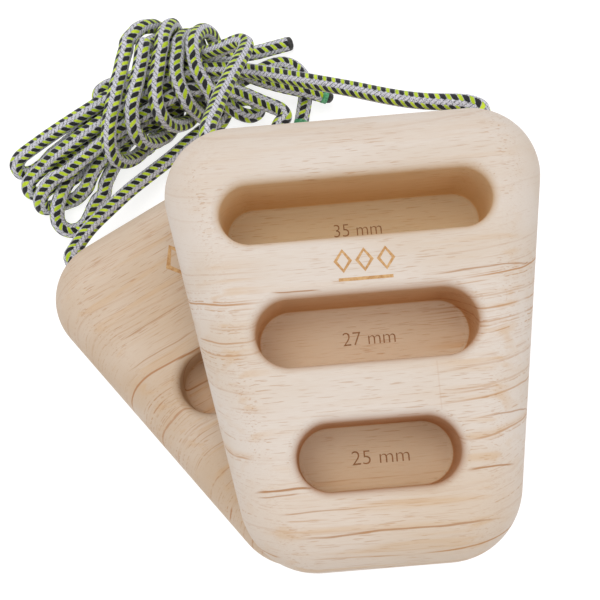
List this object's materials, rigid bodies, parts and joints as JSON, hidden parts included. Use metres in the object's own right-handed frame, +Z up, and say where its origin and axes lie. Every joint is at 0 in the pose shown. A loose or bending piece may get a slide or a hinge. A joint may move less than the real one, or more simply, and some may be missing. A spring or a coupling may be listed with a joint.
{
  "type": "portable hangboard pair",
  "caption": "Pair of small tapered wooden hangboards with full-round finger pockets in both faces, one lying on the other, and the braided cord they hang on, tied up in a wrapped hank.",
  "frame": {"origin": "on the floor below the middle of the two blocks", "axes": "+Z up, out of the front block's face; +Y towards the front block's wide top end; +X to the right of its face"},
  "size_m": [0.2043, 0.2301, 0.1103],
  "materials": {
    "wood": "sanded, lightly oiled",
    "rear_wood": "sanded, lightly oiled",
    "cord": "woven braid",
    "green_band": "shrunk sleeve",
    "fused_end": "melted"
  },
  "bodies": {
    "rear_board": {"rear_block": "rear_wood", "rear_cord_inside": "cord", "front_left_lead": "cord", "front_right_lead": "cord", "rear_right_lead": "cord", "rear_left_lead": "cord", "hank_loop_1": "cord", "hank_loop_2": "cord", "hank_loop_3": "cord", "hank_wrapping": "cord", "tail_1": "cord", "tail_2": "cord", "tail_3": "cord", "cord_end_1": "fused_end", "cord_end_2": "green_band", "cord_end_3": "green_band", "cord_end_4": "fused_end"},
    "front_board": {"front_block": "wood", "front_cord_inside": "cord"}
  },
  "joints": [
    {"name": "front_board_lift", "type": "slide", "parent": "rear_board", "child": "front_board", "axis": [0, 0, 1], "range_m": [0, 0.06]}
  ]
}
